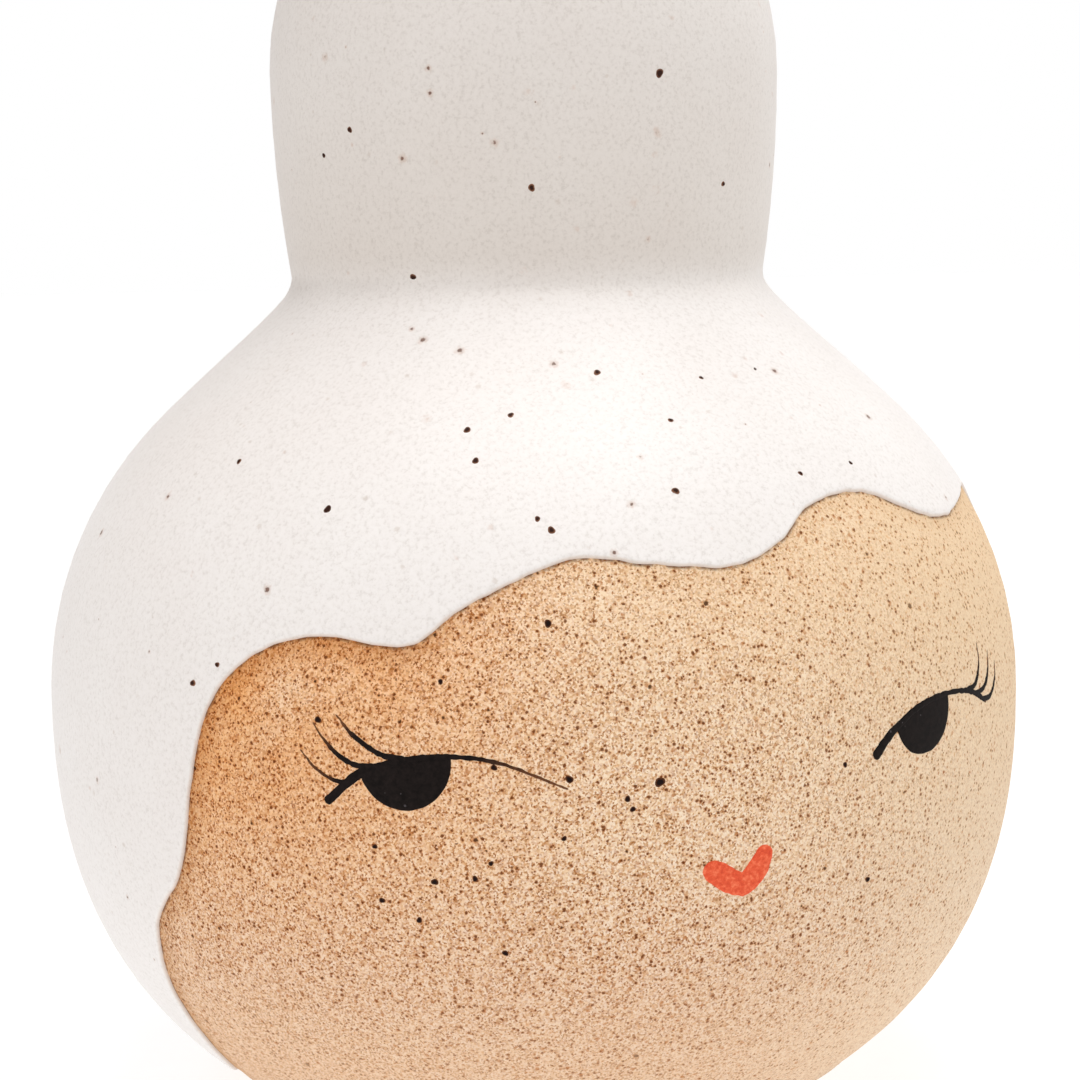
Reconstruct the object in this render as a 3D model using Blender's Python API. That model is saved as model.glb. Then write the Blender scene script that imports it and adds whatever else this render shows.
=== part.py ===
"""Stoneware head vase with a topknot.

A thrown globe for the head and a thrown bun for the topknot are luted together over a coil of clay.
A white glaze coat is the hair, another coat lines the inside, and the face is a few painted strokes.
Metres, +Z up, origin at the centre of the base, the face towards -Y.
"""
from math import cos, pi, sin

import bmesh
import bpy
import numpy as np

MM = 0.001

# The turned outer shape
HEAD_CENTRE_Z = 46.5 * MM   # height of the globe's widest circle
HEAD_RADIUS = 55.3 * MM
HEAD_RISE = 47.0 * MM       # the globe alone would close this far above its widest circle
HEAD_DROP = 50.7 * MM       # and this far below it; the flat base cuts it sooner
HEAD_RISE_POWER = 2.08      # 2 is an ellipse, more is fuller
HEAD_DROP_POWER = 2.37
KNOT_CENTRE_Z = HEAD_CENTRE_Z + 69.0 * MM
KNOT_RADIUS = 28.5 * MM
KNOT_RISE = 30.0 * MM
KNOT_DROP = 65.7 * MM
WAIST_BLEND = 17.5 * MM     # larger is a softer waist between globe and bun
MOUTH_CUT_RADIUS = 18.0 * MM  # where the bun's outside turns over into the lip

# Walls, coats and gaps
WALL = 4.5 * MM
FLOOR = 6.0 * MM
COAT = 0.5 * MM             # thickness of a glaze coat
PAINT = 0.3 * MM            # thickness of a painted stroke
GAP = 0.45 * MM             # clearance between pieces that touch

# The luting seam at the waist and the coil in its groove
SEAM_Z = HEAD_CENTRE_Z + 49.0 * MM
GROOVE_HALF_HEIGHT = 3.2 * MM
GROOVE_DEPTH = 2.2 * MM

# Facets
COLUMNS = 48                # around the axis
BEND_PACE = 20 * MM         # rows crowd into a bend as if each radian of it added this length
HAIR_COLUMNS = 72
COAT_ROWS = 20              # from the hairline to the lip
LINER_ROWS = 14
HEAD_ROWS = 13
KNOT_ROWS = 9
LIP_STEPS = 3
STROKE_STEPS = 6

EVEN_ANGLES = [2 * pi * column / COLUMNS - pi for column in range(COLUMNS)]

# The hairline, drawn on the globe unrolled at its widest circle: millimetres to the right of the
# middle of the face, and millimetres above the globe's widest circle
HAIRLINE = (
    (-130, -40.5), (-88, -40), (-74, -38), (-67, -34), (-65.3, -25), (-63.2, -17), (-58.8, -11.5),
    (-56, -3), (-53.2, 7), (-48, 11.8), (-41, 13.7), (-32, 13.1), (-26, 16.8), (-16, 20.6), (-8, 20),
    (1.5, 19.3), (7.7, 21), (14, 24.1), (23, 24.6), (32, 22), (38.5, 21.1), (47, 22.6), (56, 25),
    (62, 24.2), (66, 19.5), (68, 11), (69, 3), (71, -6), (75, -13), (78.5, -19), (80, -27), (83, -35),
    (92, -39.5), (130, -40.5),
)

# The painted strokes in the same drawing: points of the centre line with the half width there
LID_LINES = {
    "left": ((-39.5, -1.0, 0.45), (-36.4, 1.4, 0.45), (-31.5, 3.1, 0.35), (-26.5, 3.4, 0.3),
             (-21.5, 2.2, 0.22), (-16.8, 0.3, 0.18)),
    "right": ((15.9, 0.3, 0.45), (18.4, 2.3, 0.45), (22.3, 4.1, 0.35), (27.0, 4.7, 0.3),
              (31.8, 4.2, 0.22), (36.2, 2.6, 0.18)),
}
# Each half disc is the part of a disc below its lid line: centre across and up, half width, drop
IRISES = {"left": (-32.0, 2.7, 4.3, 4.4), "right": (23.2, 3.4, 4.0, 4.0)}
IRIS_CLEARANCE = 0.35       # below the lid line
IRIS_END_DEPTH = 0.5        # least depth of the half disc, at its two ends
LASHES = {
    "left": (((-38.7, 1.3), (-40.6, 1.7), (-42.6, 3.3)),
             ((-36.6, 2.7), (-39.0, 3.5), (-41.3, 6.0)),
             ((-33.6, 3.8), (-36.6, 4.9), (-38.8, 6.8))),
    "right": (((32.9, 4.9), (35.1, 5.9), (35.7, 8.3)),
              ((34.7, 4.2), (37.3, 4.7), (38.3, 7.1)),
              ((36.9, 3.1), (39.1, 3.4), (40.4, 5.5))),
}
LASH_ROOT = 0.25            # half widths of a lash at its root and at its tip
LASH_TIP = 0.15
MOUTH_DABS = {
    "left": ((-3.6, -8.3, 0.5), (-1.9, -9.3, 0.95), (-0.5, -10.5, 0.6)),
    "right": ((2.7, -6.7, 0.4), (2.2, -8.8, 0.8), (1.1, -10.4, 0.5)),
}

COLOURS = {
    "clay": ((0.66, 0.42, 0.24, 1), 0.85),
    "coil": ((0.60, 0.40, 0.25, 1), 0.9),
    "white_glaze": ((0.90, 0.87, 0.84, 1), 0.4),
    "liner_glaze": ((0.88, 0.85, 0.82, 1), 0.25),
    "black_paint": ((0.015, 0.012, 0.011, 1), 0.7),
    "red_paint": ((0.79, 0.13, 0.06, 1), 0.7),
}


def clear_scene():
    for old in list(bpy.data.objects):
        bpy.data.objects.remove(old, do_unlink=True)


def fired_material(name, finish):
    """One material for one piece, from a named colour and roughness."""
    colour, roughness = COLOURS[finish]
    material = bpy.data.materials.new(name)
    material.use_nodes = True
    shader = material.node_tree.nodes["Principled BSDF"]
    shader.inputs["Base Color"].default_value = colour
    shader.inputs["Roughness"].default_value = roughness
    shader.inputs["Metallic"].default_value = 0.0
    return material


# ---------------------------------------------------------------- the turned outline

def oval_radius(offset, reach, radius, power):
    """Radius of a squared-off oval, a height offset away from its widest circle."""
    return radius * max(1 - abs(offset / reach) ** power, 0) ** (1 / power)


def outer_radius(z):
    """Radius of the outside at height z: the larger of globe and bun, blended where they meet."""
    above = z > HEAD_CENTRE_Z
    head = oval_radius(z - HEAD_CENTRE_Z, HEAD_RISE if above else HEAD_DROP, HEAD_RADIUS,
                       HEAD_RISE_POWER if above else HEAD_DROP_POWER)
    knot = oval_radius(z - KNOT_CENTRE_Z, KNOT_RISE if z > KNOT_CENTRE_Z else KNOT_DROP, KNOT_RADIUS, 2)
    overlap = max(WAIST_BLEND - abs(head - knot), 0)
    return max(head, knot) + overlap ** 2 / (4 * WAIST_BLEND)


def lip_start_z():
    """Height at which the bun's outside has closed in to the lip."""
    return KNOT_CENTRE_Z + KNOT_RISE * (1 - (MOUTH_CUT_RADIUS / KNOT_RADIUS) ** 2) ** 0.5


class Outline:
    """The outside from base to lip as a curve (radius, height), measured along its own length."""

    def __init__(self):
        self.z = np.linspace(0, lip_start_z(), 1200)
        self.r = np.array([outer_radius(z) for z in self.z])
        steps = np.hypot(np.diff(self.r), np.diff(self.z))
        self.length = np.concatenate([[0], np.cumsum(steps)])
        self.end = self.length[-1]
        turn = np.abs(np.gradient(np.unwrap(np.arctan2(np.gradient(self.r), np.gradient(self.z)))))
        self.pace = self.length + BEND_PACE * np.cumsum(turn)

    def along(self, z):
        """Length from the base up to height z."""
        return float(np.interp(z, self.z, self.length))

    def at(self, length, outward=0.0):
        """Point at a length from the base, moved outward along the surface's normal."""
        r = np.interp(length, self.length, self.r)
        z = np.interp(length, self.length, self.z)
        step = 0.5 * MM
        ends = np.clip([length - step, length + step], 0, self.end)
        dr = np.diff(np.interp(ends, self.length, self.r))[0]
        dz = np.diff(np.interp(ends, self.length, self.z))[0]
        size = (dr * dr + dz * dz) ** 0.5
        return float(r + outward * dz / size), float(z - outward * dr / size)

    def stretch(self, start, end, rows, outward=0.0):
        """Points from one length to another, closer together where the outline bends."""
        paces = np.linspace(*np.interp((start, end), self.length, self.pace), rows + 1)
        return [self.at(s, outward) for s in np.interp(paces, self.pace, self.length)]

    def past(self, start, widest, end, rows):
        """Points from one length to another, with one of them on the widest circle between."""
        half = rows // 2
        return self.stretch(start, widest, half) + self.stretch(widest, end, rows - half)[1:]


OUTLINE = Outline()


def lip_arc(outward_start, outward_end):
    """The rounded lip from the outside over to the inside, between two offsets of the outline."""
    outer = np.array(OUTLINE.at(OUTLINE.end, outward_start))
    inner = np.array(OUTLINE.at(OUTLINE.end, outward_end))
    centre = (outer + inner) / 2
    arm = outer - centre
    forward = np.array((-arm[1], arm[0]))
    angles = [pi * step / LIP_STEPS for step in range(1, LIP_STEPS)]
    return [tuple(centre + arm * cos(angle) + forward * sin(angle)) for angle in angles]


# ---------------------------------------------------------------- solids from sections

def finish_object(name, bm, finish, sharp_degrees=40):
    bmesh.ops.remove_doubles(bm, verts=bm.verts, dist=1e-7)
    bmesh.ops.recalc_face_normals(bm, faces=bm.faces)
    mesh = bpy.data.meshes.new(name)
    bm.to_mesh(mesh)
    bm.free()
    mesh.shade_smooth()
    mesh.set_sharp_from_angle(angle=sharp_degrees * pi / 180)
    mesh.materials.append(fired_material(name, finish))
    piece = bpy.data.objects.new(name, mesh)
    bpy.context.scene.collection.objects.link(piece)
    return piece


def turned_solid(name, section_at, finish, closed=True, angles=EVEN_ANGLES):
    """A solid around the axis from the section at each angle; an open section ends on the axis."""
    bm = bmesh.new()
    rings = []
    for angle in angles:
        section = section_at(angle)
        rings.append([bm.verts.new((r * sin(angle), -r * cos(angle), z)) for r, z in section])
    count = len(rings[0])
    for near, far in zip([rings[-1]] + rings, rings):
        for row in range(count if closed else count - 1):
            above = (row + 1) % count
            bm.faces.new((near[row], far[row], far[above], near[above]))
    return finish_object(name, bm, finish)


# ---------------------------------------------------------------- shells, coil and coats

def head_section(_angle):
    """Base, outside up to the groove, seam face, inside down to the floor."""
    groove = OUTLINE.along(SEAM_Z - GROOVE_HALF_HEIGHT)
    seam_top = SEAM_Z - GAP / 2
    waist = outer_radius(SEAM_Z)
    inside_top = OUTLINE.along(seam_top)
    inside = OUTLINE.stretch(inside_top, OUTLINE.along(14 * MM), HEAD_ROWS - 2, -WALL)
    inside = [(r, min(z, seam_top)) for r, z in inside if z > FLOOR + 2 * MM]
    floor_corner = inside[-1][0] - 4 * MM
    widest = OUTLINE.along(HEAD_CENTRE_Z)
    return ([(0, 0)] + OUTLINE.past(0, widest, groove, HEAD_ROWS)
            + [(waist - GROOVE_DEPTH, seam_top)] + inside + [(floor_corner, FLOOR), (0, FLOOR)])


def knot_section(_angle):
    """Seam face, outside from the groove up, lip, inside down."""
    groove = OUTLINE.along(SEAM_Z + GROOVE_HALF_HEIGHT)
    seam_bottom = SEAM_Z + GAP / 2
    waist = outer_radius(SEAM_Z)
    inside = OUTLINE.stretch(OUTLINE.end, OUTLINE.along(seam_bottom), KNOT_ROWS, -WALL)
    inside = [(r, max(z, seam_bottom)) for r, z in inside]
    widest = OUTLINE.along(KNOT_CENTRE_Z)
    return ([(waist - GROOVE_DEPTH, seam_bottom)] + OUTLINE.past(groove, widest, OUTLINE.end, KNOT_ROWS)
            + lip_arc(0, -WALL) + inside)


def coil_section(_angle):
    """The clay pressed into the groove, its outside flush with the waist."""
    waist = outer_radius(SEAM_Z)
    low = OUTLINE.along(SEAM_Z - GROOVE_HALF_HEIGHT + 3 * GAP)
    high = OUTLINE.along(SEAM_Z + GROOVE_HALF_HEIGHT - 3 * GAP)
    return OUTLINE.stretch(low, high, 2) + [(waist - GROOVE_DEPTH + 2.5 * GAP, SEAM_Z)]


def smooth_curve(points, steps):
    """A smooth curve through the points, with steps stretches between each two."""
    points = np.array(points, dtype=float)
    padded = np.vstack([2 * points[0] - points[1], points, 2 * points[-1] - points[-2]])
    curve = []
    for before, start, end, after in zip(padded, padded[1:], padded[2:], padded[3:]):
        for step in range(steps):
            t = step / steps
            curve.append(0.5 * (2 * start + (end - before) * t
                                + (2 * before - 5 * start + 4 * end - after) * t ** 2
                                + (3 * start - before - 3 * end + after) * t ** 3))
    curve.append(points[-1])
    return np.array(curve)


HAIRLINE_CURVE = smooth_curve(HAIRLINE, 8) * MM


def hairline_height(angle):
    """Height of the hairline at an angle round the axis, zero at the middle of the face."""
    turn = (angle + pi) % (2 * pi) - pi
    across = turn * HEAD_RADIUS
    return HEAD_CENTRE_Z + float(np.interp(across, HAIRLINE_CURVE[:, 0], HAIRLINE_CURVE[:, 1]))


def hair_angles():
    """Columns at equal lengths along the hairline, so that they crowd where it is steep."""
    across = np.concatenate([[-pi * HEAD_RADIUS], HAIRLINE_CURVE[:, 0], [pi * HEAD_RADIUS]])
    up = np.concatenate([HAIRLINE_CURVE[:1, 1], HAIRLINE_CURVE[:, 1], HAIRLINE_CURVE[-1:, 1]])
    travel = np.concatenate([[0], np.cumsum(np.hypot(np.diff(across), np.diff(up)))])
    stops = np.linspace(0, travel[-1], HAIR_COLUMNS, endpoint=False)
    return np.interp(stops, travel, across) / HEAD_RADIUS


def hair_section(angle):
    """The outer coat from the hairline to the top of the lip."""
    start = OUTLINE.along(hairline_height(angle))
    outside = OUTLINE.stretch(start, OUTLINE.end, COAT_ROWS, GAP + COAT)
    inside = OUTLINE.stretch(OUTLINE.end, start, COAT_ROWS, GAP)
    return outside + inside


def liner_section(_angle):
    """The inner coat from the lip down to the middle of the floor, as a cup inside the shells."""
    near = -WALL - GAP
    far = near - COAT
    low = OUTLINE.along(14 * MM)
    wet = OUTLINE.stretch(OUTLINE.end, low, LINER_ROWS, far)
    wet = [(r, z) for r, z in wet if z > FLOOR + GAP + COAT + 2 * MM]
    dry = OUTLINE.stretch(low, OUTLINE.end, LINER_ROWS, near)
    dry = [(r, z) for r, z in dry if z > FLOOR + GAP + 2 * MM]
    corner_wet = wet[-1][0] - 4.5 * MM
    corner_dry = dry[0][0] - 4.5 * MM
    return ([(0, FLOOR + GAP + COAT), (corner_wet, FLOOR + GAP + COAT)] + wet[::-1]
            + dry[::-1] + [(corner_dry, FLOOR + GAP), (0, FLOOR + GAP)])


# ---------------------------------------------------------------- painted strokes

def on_globe(across, up, outward):
    """World place of a point of the drawing, a distance outward from the surface."""
    angle = across * MM / HEAD_RADIUS
    r, z = OUTLINE.at(OUTLINE.along(HEAD_CENTRE_Z + up * MM), outward)
    return r * sin(angle), -r * cos(angle), z


def stroke_solid(name, left_edge, right_edge, finish):
    """A thin solid that follows the surface between two edges of equal numbers of points."""
    bm = bmesh.new()
    layers = []
    for outward in (GAP, GAP + PAINT):
        sides = [[bm.verts.new(on_globe(x, y, outward)) for x, y in edge] for edge in (left_edge, right_edge)]
        layers.append(sides)
    (low_left, low_right), (high_left, high_right) = layers
    rings = list(zip(low_left, low_right, high_right, high_left))
    for near, far in zip(rings, rings[1:]):
        for side in range(4):
            after = (side + 1) % 4
            bm.faces.new((near[side], near[after], far[after], far[side]))
    bm.faces.new(rings[0])
    bm.faces.new(rings[-1][::-1])
    return finish_object(name, bm, finish)


def ribbon_edges(points):
    """Two edges of a stroke given by centre points with half widths."""
    curve = smooth_curve(points, STROKE_STEPS // 2)
    along = np.gradient(curve[:, :2], axis=0)
    along /= np.linalg.norm(along, axis=1)[:, None]
    side = np.column_stack([-along[:, 1], along[:, 0]]) * curve[:, 2:3]
    return curve[:, :2] + side, curve[:, :2] - side


def lid_line(side):
    return stroke_solid(side + "_lid_line", *ribbon_edges(LID_LINES[side]), "black_paint")


def iris(side):
    """The part of a disc that hangs below the lid line."""
    centre, middle, half_width, drop = IRISES[side]
    lid = smooth_curve(LID_LINES[side], STROKE_STEPS)
    top = []
    bottom = []
    for share in np.linspace(-1, 1, STROKE_STEPS + 1):
        across = centre + half_width * share
        under_lid = np.interp(across, lid[:, 0], lid[:, 1] - lid[:, 2]) - IRIS_CLEARANCE
        rim = middle - drop * (1 - share ** 2) ** 0.5
        top.append((across, under_lid))
        bottom.append((across, min(rim, under_lid - IRIS_END_DEPTH)))
    return stroke_solid(side + "_iris", top, bottom, "black_paint")


def lash(side, number, points):
    widths = np.linspace(LASH_ROOT, LASH_TIP, len(points))
    shaped = [(x, y, width) for (x, y), width in zip(points, widths)]
    return stroke_solid(f"{side}_lash_{number}", *ribbon_edges(shaped), "black_paint")


def mouth_dab(side):
    return stroke_solid(f"mouth_{side}_dab", *ribbon_edges(MOUTH_DABS[side]), "red_paint")


def build():
    clear_scene()
    turned_solid("head_body", head_section, "clay", closed=False)
    turned_solid("topknot_body", knot_section, "clay")
    turned_solid("neck_coil", coil_section, "coil")
    turned_solid("hair_glaze", hair_section, "white_glaze", angles=hair_angles())
    turned_solid("liner_glaze", liner_section, "liner_glaze", closed=False)
    for side in ("left", "right"):
        lid_line(side)
        iris(side)
        for number, points in enumerate(LASHES[side], start=1):
            lash(side, number, points)
        mouth_dab(side)


build()
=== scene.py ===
"""Looks of the stoneware head vase with a topknot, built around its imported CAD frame.

The bare clay of the head, the hair glaze with its rolled edge, the liner and every painted stroke
are fine meshes; sand, iron specks, flashing and satin glaze are procedural materials.
"""

from math import cos, pi, radians, sin

import bmesh
import bpy
import numpy as np
from mathutils import Matrix, Vector
from mathutils.kdtree import KDTree


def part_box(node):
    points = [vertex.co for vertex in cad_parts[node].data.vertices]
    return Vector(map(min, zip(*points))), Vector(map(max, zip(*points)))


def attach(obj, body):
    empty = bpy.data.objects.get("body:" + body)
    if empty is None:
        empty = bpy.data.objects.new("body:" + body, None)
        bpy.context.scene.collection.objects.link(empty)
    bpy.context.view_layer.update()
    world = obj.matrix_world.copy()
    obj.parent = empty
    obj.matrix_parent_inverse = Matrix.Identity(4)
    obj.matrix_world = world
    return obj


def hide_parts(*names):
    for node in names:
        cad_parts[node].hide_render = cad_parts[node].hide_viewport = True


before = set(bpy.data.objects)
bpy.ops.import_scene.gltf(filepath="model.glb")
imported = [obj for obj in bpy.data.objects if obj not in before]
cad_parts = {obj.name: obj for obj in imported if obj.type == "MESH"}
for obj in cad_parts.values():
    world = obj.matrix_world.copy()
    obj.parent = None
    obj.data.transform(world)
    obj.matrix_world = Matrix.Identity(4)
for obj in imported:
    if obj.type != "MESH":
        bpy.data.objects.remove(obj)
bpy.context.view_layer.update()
head_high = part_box("head_body")[1]
knot_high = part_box("topknot_body")[1]
coil_low, coil_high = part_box("neck_coil")

MM = 0.001

# ---------------------------------------------------------------- sizes, as in the CAD model

HEAD_RADIUS = head_high.x
KNOT_RADIUS = knot_high.x
SEAM_Z = (coil_low.z + coil_high.z) / 2
HEAD_CENTRE_Z = SEAM_Z - 49.0 * MM      # height of the globe's widest circle
HEAD_RISE = 47.0 * MM                   # from there to the top of its oval
HEAD_DROP = 50.7 * MM                   # and to the oval's bottom, which the flat base cuts off
HEAD_RISE_POWER = 2.08                  # 2 is an ellipse, and more is squarer
HEAD_DROP_POWER = 2.37
KNOT_CENTRE_Z = HEAD_CENTRE_Z + 69.0 * MM
KNOT_RISE = 30.0 * MM
KNOT_DROP = 65.7 * MM
WAIST_BLEND = 17.5 * MM                 # how softly globe and bun run together
MOUTH_CUT_RADIUS = 18.0 * MM            # where the bun's outside turns into the lip
WALL = 4.5 * MM
FLOOR = 6.0 * MM

GROOVE_HALF_HEIGHT = (coil_high.z - coil_low.z) / 2
GROOVE_DEPTH = 2.2 * MM

# ---------------------------------------------------------------- coats and meshes

# Fired coats are much thinner than their CAD stand-ins, so the clay lies this far inside the CAD's
INSET = 0.36 * MM
GLAZE = 0.36 * MM
GLAZE_ROLL = 0.55 * MM      # how far in from its edge the glaze reaches full thickness
GLAZE_SUNK = 0.25 * MM      # its underside lies this deep in the clay
GLAZE_INSIDE = 7 * MM       # it goes this far down inside the mouth
GLAZE_FADE = 2 * MM         # and thins out over this length there
LINER = 0.3 * MM
LINER_SUNK = 0.1 * MM
LINER_TOP = 3 * MM          # the liner starts this far down inside the mouth, under the hair glaze
CUP_HEIGHT = 15 * MM        # and below this height it curves in to the floor
PAINT = 0.07 * MM
PAINT_SUNK = 0.12 * MM
FULL_PAINT = 0.55           # paint narrower than this, in millimetres, is thinner too
WANDER = 0.05               # unevenness of a painted edge, in millimetres
UNDER = 0.02 * MM           # the bun's and the coil's clay stays this far below the turned outline
RAGGED = 0.07 * MM          # unevenness of the hairline
HAIR_COLUMNS = 700          # points of the glaze's mesh round the head
HAIR_ROWS = 78              # and from its edge up to the mouth
KNOT_COLUMNS = 120
CURVE_STEPS = 24            # points of a painted curve between two of its drawn points

# The hairline and the strokes, drawn on the globe unrolled at its widest circle: millimetres to
# the right of the middle of the face, and millimetres above the globe's widest circle
HAIRLINE = (
    (-130, -40.5), (-88, -40), (-74, -38.5), (-69, -34), (-67.5, -25), (-65.3, -18.8), (-63.7, -16.2),
    (-59.2, -11.5), (-57.1, -6.5), (-55.9, -1), (-53.3, 7), (-48.1, 12), (-41, 13.9), (-32, 13.3),
    (-26, 17), (-16, 20.8), (-8, 20.2), (1.5, 19.5), (7.7, 21.2), (14, 24.3), (23, 24.8), (32, 22.1),
    (38.5, 21.1), (47, 21.9), (56, 22.6), (62, 21.5), (66, 17.5), (68, 11), (69, 3), (71, -6),
    (75, -13), (78.5, -19), (80, -27), (83, -35), (92, -39.5), (130, -40.5),
)

# Points of each stroke's centre line with the half width there
LID_LINES = {
    "left": ((-40.0, -1.5, 0.44), (-38.0, 0.3, 0.44), (-36.4, 1.5, 0.46), (-34.0, 2.45, 0.36),
             (-30.5, 3.2, 0.28), (-26.5, 3.35, 0.24), (-22.8, 2.75, 0.18), (-19.6, 1.5, 0.14),
             (-16.7, 0.25, 0.08)),
    "right": ((15.6, 0.0, 0.62), (17.2, 1.5, 0.52), (19.4, 2.85, 0.4), (22.3, 4.05, 0.32),
              (26.0, 4.6, 0.27), (29.5, 4.5, 0.26), (32.8, 3.95, 0.3), (35.3, 2.9, 0.3),
              (36.8, 2.1, 0.1)),
}
# The part of a disc below the lid line: centre across and up, half width, drop
IRISES = {"left": (-32.05, 2.75, 4.5, 4.55), "right": (23.3, 3.4, 4.45, 4.15)}
LASHES = {
    "left": (((-37.3, 0.55, 0.3), (-39.2, 0.8, 0.2), (-41.0, 1.8, 0.15), (-42.6, 3.4, 0.05)),
             ((-34.8, 2.2, 0.3), (-37.0, 2.35, 0.27), (-39.2, 3.6, 0.2), (-41.3, 6.0, 0.06)),
             ((-31.9, 3.0, 0.3), (-34.4, 3.45, 0.26), (-36.9, 4.95, 0.22), (-38.9, 6.9, 0.06))),
    "right": (((31.8, 4.2, 0.3), (34.0, 4.5, 0.27), (35.4, 6.2, 0.19), (35.7, 8.5, 0.06)),
              ((33.9, 3.5, 0.3), (36.3, 3.8, 0.27), (37.9, 5.3, 0.19), (38.4, 7.3, 0.06)),
              ((35.7, 2.6, 0.3), (38.1, 2.6, 0.27), (39.8, 4.1, 0.19), (40.4, 5.9, 0.06))),
}
# The larger iron specks: degrees round from the middle of the face, millimetres above the globe's
# widest circle, radius in millimetres
CLAY_SPECKS = (
    (-8.4, 0.5, 0.42), (-11.6, -0.9, 0.26), (-11.1, -1.9, 0.24), (-17.2, 1.2, 0.33), (-18.9, 15.3, 0.32),
    (-42.2, 6.3, 0.3), (-24.4, 2.4, 0.26), (-29.6, 10.2, 0.22), (-30.5, -8.6, 0.3), (-26.5, -8.2, 0.25),
    (-24.9, -6.7, 0.22), (-36.0, -10.7, 0.26), (-32.3, -12.5, 0.26), (-23.8, -15.7, 0.27),
    (-17.8, -4.4, 0.22), (16.1, -12.2, 0.27), (12.2, 0.0, 0.24), (-36.4, -5.4, 0.22),
)
GLAZE_SPECKS = (
    (-44.6, 25.0, 0.44), (8.5, 67.0, 0.45), (-18.2, 23.3, 0.31), (-19.7, 24.3, 0.24), (-27.2, 29.4, 0.31),
    (-28.8, 32.1, 0.32), (-3.2, 26.3, 0.3), (-9.5, 37.1, 0.3), (-23.0, 33.4, 0.26), (-57.7, 8.5, 0.27),
    (-61.5, 28.8, 0.27), (-46.2, 46.8, 0.42), (24.5, 27.4, 0.26), (14.8, 27.0, 0.24), (-0.7, 32.5, 0.22),
    (7.6, 36.2, 0.22), (19.4, 36.7, 0.22), (-54.6, 10.5, 0.22),
    (-59.9, 62.1, 0.3), (-68.8, 59.7, 0.3), (-19.1, 55.7, 0.3), (27.7, 56.0, 0.24),
)

MOUTH_DABS = {
    "left": ((-3.75, -8.1, 0.9), (-2.4, -8.8, 1.15), (-0.8, -9.85, 1.2), (0.5, -10.3, 1.05),
             (1.5, -10.2, 0.8)),
    "right": ((2.8, -6.6, 0.7), (2.35, -7.95, 1.05), (1.6, -9.25, 1.2), (0.5, -10.4, 1.05),
              (-0.4, -10.9, 0.6)),
}


# ---------------------------------------------------------------- the turned outline

def oval_radius(offset, reach, radius, power):
    """Radius of an oval at an offset from its widest circle, when it reaches so far."""
    return radius * np.clip(1 - np.abs(offset / reach) ** power, 0, 1) ** (1 / power)


def outer_radius(z):
    """Radius of the outside at heights z: the larger of globe and bun, blended where they meet."""
    up = z - HEAD_CENTRE_Z
    head = np.where(up > 0, oval_radius(up, HEAD_RISE, HEAD_RADIUS, HEAD_RISE_POWER),
                    oval_radius(up, HEAD_DROP, HEAD_RADIUS, HEAD_DROP_POWER))
    above = z - KNOT_CENTRE_Z
    knot = oval_radius(above, np.where(above > 0, KNOT_RISE, KNOT_DROP), KNOT_RADIUS, 2)
    overlap = np.maximum(WAIST_BLEND - np.abs(head - knot), 0)
    return np.maximum(head, knot) + overlap ** 2 / (4 * WAIST_BLEND)


class Outline:
    """A curve of radii and heights, with the length along it and its outward normals."""

    def __init__(self, r, z):
        self.r = r
        self.z = z
        steps = np.hypot(np.diff(r), np.diff(z))
        self.length = np.concatenate([[0], np.cumsum(steps)])
        self.end = self.length[-1]
        dr = np.gradient(r, self.length)
        dz = np.gradient(z, self.length)
        size = np.hypot(dr, dz)
        self.out_r = dz / size
        self.out_z = -dr / size

    def along(self, z):
        """The length up to a height."""
        return np.interp(z, self.z, self.length)

    def at(self, length, outward):
        """Radius and height so far along the outline and so far outward."""
        r, z, out_r, out_z = (np.interp(length, self.length, values)
                              for values in (self.r, self.z, self.out_r, self.out_z))
        return r + outward * out_r, z + outward * out_z


def outside_with_lip():
    """The outside from the base to the lip, and the same with the rounded lip and the part of the
    inside that the hair glaze covers."""
    top = KNOT_CENTRE_Z + KNOT_RISE * (1 - (MOUTH_CUT_RADIUS / KNOT_RADIUS) ** 2) ** 0.5
    z = np.linspace(0, top, 2400)
    outside = Outline(outer_radius(z), z)
    outside = Outline(*outside.at(outside.length, -INSET))
    outer = np.array([outside.r[-1], outside.z[-1]])
    normal = np.array([outside.out_r[-1], outside.out_z[-1]])
    centre = outer - normal * WALL / 2
    forward = np.array([-normal[1], normal[0]])
    turn = np.linspace(0, pi, 60)[1:, None]
    lip = centre + (normal * np.cos(turn) + forward * np.sin(turn)) * WALL / 2
    down = np.arange(outside.end, outside.end - GLAZE_INSIDE, -0.1 * MM)[1:]
    inside = np.column_stack(outside.at(down, -WALL))
    path = np.vstack([np.column_stack([outside.r, outside.z]), lip, inside])
    return outside, Outline(path[:, 0], path[:, 1])


OUTSIDE, OVER_LIP = outside_with_lip()


def thrown_wobble(angle, z):
    """Outward departure of the hand-thrown form from a true turned one: slow waves round the pot,
    and throwing rings that come and go. It fades out at the flat base."""
    ring_spacing = 3.7 * MM
    slow = 0.10 * np.sin(2 * angle + 0.7 + 14 * z) + 0.06 * np.sin(3 * angle - 1.3 - 31 * z)
    rings = 0.018 * np.sin(z * 2 * pi / ring_spacing + 1.5 * np.sin(angle)) * np.sin(z * 61 + 1)
    return (slow + rings) * MM * np.clip(z / (3 * MM), 0, 1)


def place(angle, length, outward, outline=OUTSIDE):
    """Points of the surface at angles round the axis and lengths along an outline."""
    angle, length, outward = np.broadcast_arrays(angle, length, outward)
    r, z = outline.at(length, outward)
    r = r + thrown_wobble(angle, z)
    return np.stack([r * np.sin(angle), -r * np.cos(angle), z], axis=-1)


def drawn_place(across, up, outward):
    """Points of the drawing on the globe, from millimetres across and up."""
    return place(across * MM / HEAD_RADIUS, OUTSIDE.along(HEAD_CENTRE_Z + up * MM), outward)


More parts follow.
